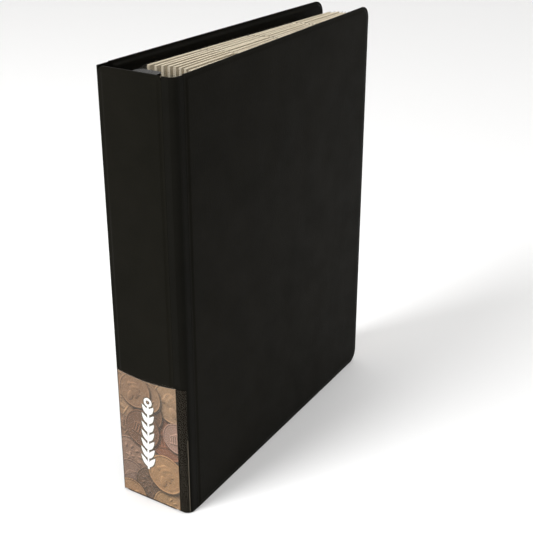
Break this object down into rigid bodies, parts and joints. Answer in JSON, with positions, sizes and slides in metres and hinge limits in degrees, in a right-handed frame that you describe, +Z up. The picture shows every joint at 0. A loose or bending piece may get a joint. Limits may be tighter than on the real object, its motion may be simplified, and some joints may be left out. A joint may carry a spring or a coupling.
{
  "type": "coin album",
  "caption": "Upright coin album: vinyl covers with rounded fore-edge corners, a spine label pocket, a three-ring mechanism with two levers, and pages of coin holders",
  "frame": {"origin": "middle of the spine's foot, on the spine's outer plane, on the surface that the album stands on", "axes": "+Z up the spine, +X across the spine to the front cover, +Y from the spine to the fore-edge"},
  "size_m": [0.0576, 0.2502, 0.2985],
  "materials": {
    "black_vinyl": "satin black vinyl with a fine leather grain, heat-sealed",
    "liner_vinyl": "smooth satin black vinyl",
    "chipboard": "grey-brown chipboard",
    "label_print": "printed paper in sepia browns",
    "clear_film": "clear glossy film",
    "holder_card": "off-white folded card",
    "coin_metal": "worn copper-nickel",
    "ring_metal": "bright nickel plate"
  },
  "bodies": {
    "spine": {"spine_outer_vinyl": "black_vinyl", "spine_liner": "liner_vinyl", "spine_board": "chipboard", "front_hinge_web": "black_vinyl", "back_hinge_web": "black_vinyl", "label_insert": "label_print", "label_pocket": "clear_film", "ring_housing": "ring_metal", "housing_rivets": "ring_metal", "lever_pins": "ring_metal"},
    "front_cover": {"front_outer_vinyl": "black_vinyl", "front_liner": "liner_vinyl", "front_board": "chipboard"},
    "back_cover": {"back_outer_vinyl": "black_vinyl", "back_liner": "liner_vinyl", "back_board": "chipboard"},
    "ring_front": {"front_blade": "ring_metal", "top_half_ring_front": "ring_metal", "middle_half_ring_front": "ring_metal", "bottom_half_ring_front": "ring_metal"},
    "ring_back": {"back_blade": "ring_metal", "top_half_ring_back": "ring_metal", "middle_half_ring_back": "ring_metal", "bottom_half_ring_back": "ring_metal"},
    "top_lever": {"top_lever": "ring_metal"},
    "bottom_lever": {"bottom_lever": "ring_metal"},
    "page_01": {"page_01_film": "clear_film", "page_01_holders": "holder_card", "page_01_coins": "coin_metal"},
    "page_02": {"page_02_film": "clear_film", "page_02_holders": "holder_card", "page_02_coins": "coin_metal"},
    "page_03": {"page_03_film": "clear_film", "page_03_holders": "holder_card", "page_03_coins": "coin_metal"},
    "page_04": {"page_04_film": "clear_film", "page_04_holders": "holder_card", "page_04_coins": "coin_metal"},
    "page_05": {"page_05_film": "clear_film", "page_05_holders": "holder_card", "page_05_coins": "coin_metal"},
    "page_06": {"page_06_film": "clear_film", "page_06_holders": "holder_card", "page_06_coins": "coin_metal"},
    "page_07": {"page_07_film": "clear_film", "page_07_holders": "holder_card", "page_07_coins": "coin_metal"},
    "page_08": {"page_08_film": "clear_film", "page_08_holders": "holder_card", "page_08_coins": "coin_metal"},
    "page_09": {"page_09_film": "clear_film", "page_09_holders": "holder_card", "page_09_coins": "coin_metal"},
    "page_10": {"page_10_film": "clear_film", "page_10_holders": "holder_card", "page_10_coins": "coin_metal"}
  },
  "joints": [
    {"name": "front_cover_hinge", "type": "hinge", "parent": "spine", "child": "front_cover", "pos_m": [0.02705, 0.00217, 0.14925], "axis": [0, 0, -1], "range_deg": [0, 92], "deforming": ["front_hinge_web"]},
    {"name": "back_cover_hinge", "type": "hinge", "parent": "spine", "child": "back_cover", "pos_m": [-0.02791, 0.00134, 0.14925], "axis": [0, 0, 1], "range_deg": [0, 92], "deforming": ["back_hinge_web"]},
    {"name": "ring_front_pivot", "type": "hinge", "parent": "spine", "child": "ring_front", "pos_m": [0.0065, 0.00775, 0.153], "axis": [0, 0, -1], "range_deg": [0, 10]},
    {"name": "ring_back_pivot", "type": "hinge", "parent": "spine", "child": "ring_back", "pos_m": [-0.0135, 0.00775, 0.153], "axis": [0, 0, 1], "range_deg": [0, 10]},
    {"name": "top_lever_pivot", "type": "hinge", "parent": "spine", "child": "top_lever", "pos_m": [-0.0035, 0.0059, 0.282], "axis": [1, 0, 0], "range_deg": [0, 8]},
    {"name": "bottom_lever_pivot", "type": "hinge", "parent": "spine", "child": "bottom_lever", "pos_m": [-0.0035, 0.0059, 0.024], "axis": [-1, 0, 0], "range_deg": [0, 8]},
    {"name": "page_01_turn", "type": "hinge", "parent": "spine", "child": "page_01", "pos_m": [0.0068, 0.01616, 0.15], "axis": [0, 0, -1], "range_deg": [0, 90.71]},
    {"name": "page_02_turn", "type": "hinge", "parent": "spine", "child": "page_02", "pos_m": [0.00422, 0.01771, 0.15], "axis": [0, 0, -1], "range_deg": [0, 90.26]},
    {"name": "page_03_turn", "type": "hinge", "parent": "spine", "child": "page_03", "pos_m": [0.00225, 0.01864, 0.15], "axis": [0, 0, -1], "range_deg": [0, 89.81]},
    {"name": "page_04_turn", "type": "hinge", "parent": "spine", "child": "page_04", "pos_m": [0.00077, 0.01907, 0.15], "axis": [0, 0, -1], "range_deg": [0, 89.36]},
    {"name": "page_05_turn", "type": "hinge", "parent": "spine", "child": "page_05", "pos_m": [-0.00046, 0.01926, 0.15], "axis": [0, 0, -1], "range_deg": [0, 88.91]},
    {"name": "page_06_turn", "type": "hinge", "parent": "spine", "child": "page_06", "pos_m": [-0.00458, 0.0178, 0.15], "axis": [0, 0, 1], "range_deg": [0, 91.56]},
    {"name": "page_07_turn", "type": "hinge", "parent": "spine", "child": "page_07", "pos_m": [-0.0055, 0.01792, 0.15], "axis": [0, 0, 1], "range_deg": [0, 92.02]},
    {"name": "page_08_turn", "type": "hinge", "parent": "spine", "child": "page_08", "pos_m": [-0.00653, 0.0179, 0.15], "axis": [0, 0, 1], "range_deg": [0, 92.47]},
    {"name": "page_09_turn", "type": "hinge", "parent": "spine", "child": "page_09", "pos_m": [-0.00792, 0.01751, 0.15], "axis": [0, 0, 1], "range_deg": [0, 92.92]},
    {"name": "page_10_turn", "type": "hinge", "parent": "spine", "child": "page_10", "pos_m": [-0.00965, 0.01675, 0.15], "axis": [0, 0, 1], "range_deg": [0, 93.37]}
  ],
  "couplings": [
    {"joint": "ring_back_pivot", "follows": "ring_front_pivot", "ratio": 1},
    {"joint": "top_lever_pivot", "follows": "ring_front_pivot", "ratio": 0.8},
    {"joint": "bottom_lever_pivot", "follows": "ring_front_pivot", "ratio": 0.8},
    {"joint": "page_01_turn", "follows": "front_cover_hinge", "ratio": 0.98586},
    {"joint": "page_02_turn", "follows": "front_cover_hinge", "ratio": 0.98096},
    {"joint": "page_03_turn", "follows": "front_cover_hinge", "ratio": 0.97606},
    {"joint": "page_04_turn", "follows": "front_cover_hinge", "ratio": 0.97116},
    {"joint": "page_05_turn", "follows": "front_cover_hinge", "ratio": 0.96627},
    {"joint": "page_06_turn", "follows": "back_cover_hinge", "ratio": 0.99516},
    {"joint": "page_07_turn", "follows": "back_cover_hinge", "ratio": 1.0001},
    {"joint": "page_08_turn", "follows": "back_cover_hinge", "ratio": 1.005},
    {"joint": "page_09_turn", "follows": "back_cover_hinge", "ratio": 1.0099},
    {"joint": "page_10_turn", "follows": "back_cover_hinge", "ratio": 1.0148}
  ]
}
